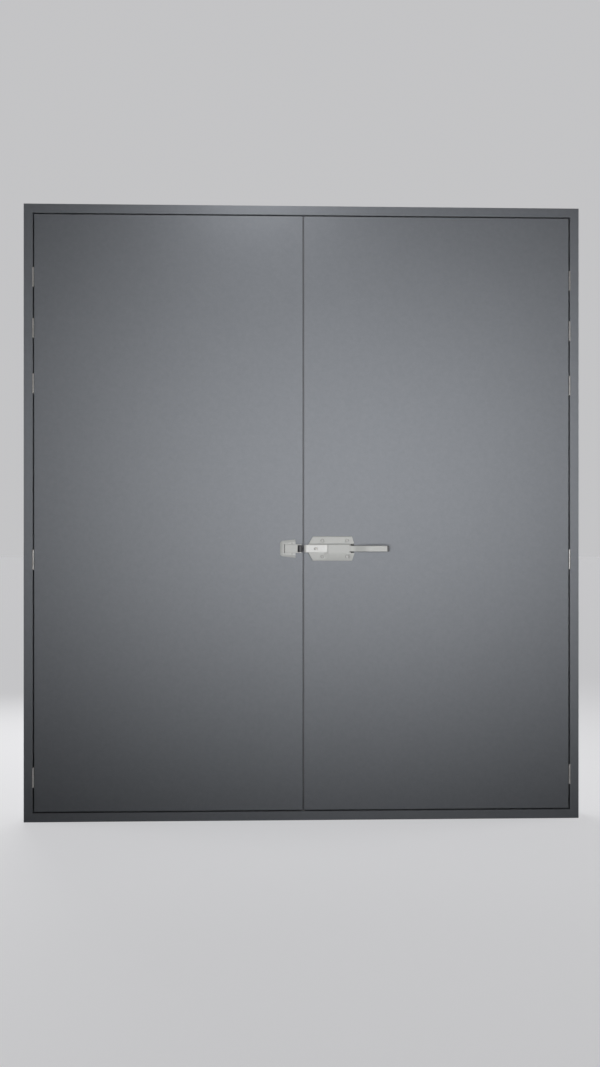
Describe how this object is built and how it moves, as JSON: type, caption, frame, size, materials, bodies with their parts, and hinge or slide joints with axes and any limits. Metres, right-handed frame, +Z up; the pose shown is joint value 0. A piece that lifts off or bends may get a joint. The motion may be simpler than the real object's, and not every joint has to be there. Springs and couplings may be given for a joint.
{
  "type": "double-leaf soundproof steel door",
  "caption": "Soundproof steel double door with two flush leaves in a four-sided rebated frame, side hinges, rubber seals and a lever latch with a roller keeper.",
  "frame": {"origin": "centre of the sill's underside, at the foot of the frame", "axes": "+Z up, +X to the viewer's right along the door's width, -Y out of the front face that carries the latch"},
  "size_m": [1.99, 0.181, 2.2],
  "materials": {
    "door_paint": "satin grey powder coat with a fine grain",
    "black_rubber": "matt extruded rubber",
    "zinc_steel": "dull zinc-plated steel",
    "silver_casting": "satin silver die casting",
    "bright_steel": "bright polished steel",
    "black_plastic": "matt black nylon"
  },
  "bodies": {
    "frame": {"frame_sill": "door_paint", "frame_head": "door_paint", "frame_jamb_left": "door_paint", "frame_jamb_right": "door_paint", "gasket_sill": "black_rubber", "gasket_head": "black_rubber", "gasket_jamb_left": "black_rubber", "gasket_jamb_right": "black_rubber", "left_hinge_1_frame_half": "zinc_steel", "left_hinge_2_frame_half": "zinc_steel", "left_hinge_3_frame_half": "zinc_steel", "left_hinge_4_frame_half": "zinc_steel", "left_hinge_5_frame_half": "zinc_steel", "right_hinge_1_frame_half": "zinc_steel", "right_hinge_2_frame_half": "zinc_steel", "right_hinge_3_frame_half": "zinc_steel", "right_hinge_4_frame_half": "zinc_steel", "right_hinge_5_frame_half": "zinc_steel"},
    "left_leaf": {"left_leaf_front": "door_paint", "left_leaf_back": "door_paint", "left_leaf_seal": "black_rubber", "left_hinge_1_leaf_half": "zinc_steel", "left_hinge_2_leaf_half": "zinc_steel", "left_hinge_3_leaf_half": "zinc_steel", "left_hinge_4_leaf_half": "zinc_steel", "left_hinge_5_leaf_half": "zinc_steel", "keeper_base": "silver_casting", "keeper_roller_pin": "zinc_steel"},
    "right_leaf": {"right_leaf_front": "door_paint", "right_leaf_back": "door_paint", "right_leaf_seal": "black_rubber", "right_hinge_1_leaf_half": "zinc_steel", "right_hinge_2_leaf_half": "zinc_steel", "right_hinge_3_leaf_half": "zinc_steel", "right_hinge_4_leaf_half": "zinc_steel", "right_hinge_5_leaf_half": "zinc_steel", "latch_housing": "silver_casting", "tongue_guide_pin": "zinc_steel", "lever_pin": "zinc_steel"},
    "lever": {"latch_lever": "silver_casting", "lever_end_cap": "black_plastic"},
    "tongue": {"latch_tongue": "bright_steel"},
    "keeper_wheel": {"keeper_roller": "black_plastic"}
  },
  "joints": [
    {"name": "left_leaf_swing", "type": "hinge", "parent": "frame", "child": "left_leaf", "pos_m": [-0.9605, -0.0695, 1.1], "axis": [0, 0, -1], "range_deg": [0, 160]},
    {"name": "right_leaf_swing", "type": "hinge", "parent": "frame", "child": "right_leaf", "pos_m": [0.9605, -0.0695, 1.1], "axis": [0, 0, 1], "range_deg": [0, 160]},
    {"name": "lever_pull", "type": "hinge", "parent": "right_leaf", "child": "lever", "pos_m": [0.157, -0.078, 0.973], "axis": [0, 0, -1], "range_deg": [0, 25], "stiffness_Nm_per_rad": 1},
    {"name": "tongue_draw", "type": "slide", "parent": "right_leaf", "child": "tongue", "axis": [1, 0, 0], "range_m": [0, 0.005]},
    {"name": "roller_turn", "type": "hinge", "parent": "left_leaf", "child": "keeper_wheel", "pos_m": [-0.01175, -0.079, 0.973], "axis": [0, 0, 1], "continuous": true}
  ],
  "couplings": [
    {"joint": "tongue_draw", "follows": "lever_pull", "m_per_rad": 0.01145}
  ]
}
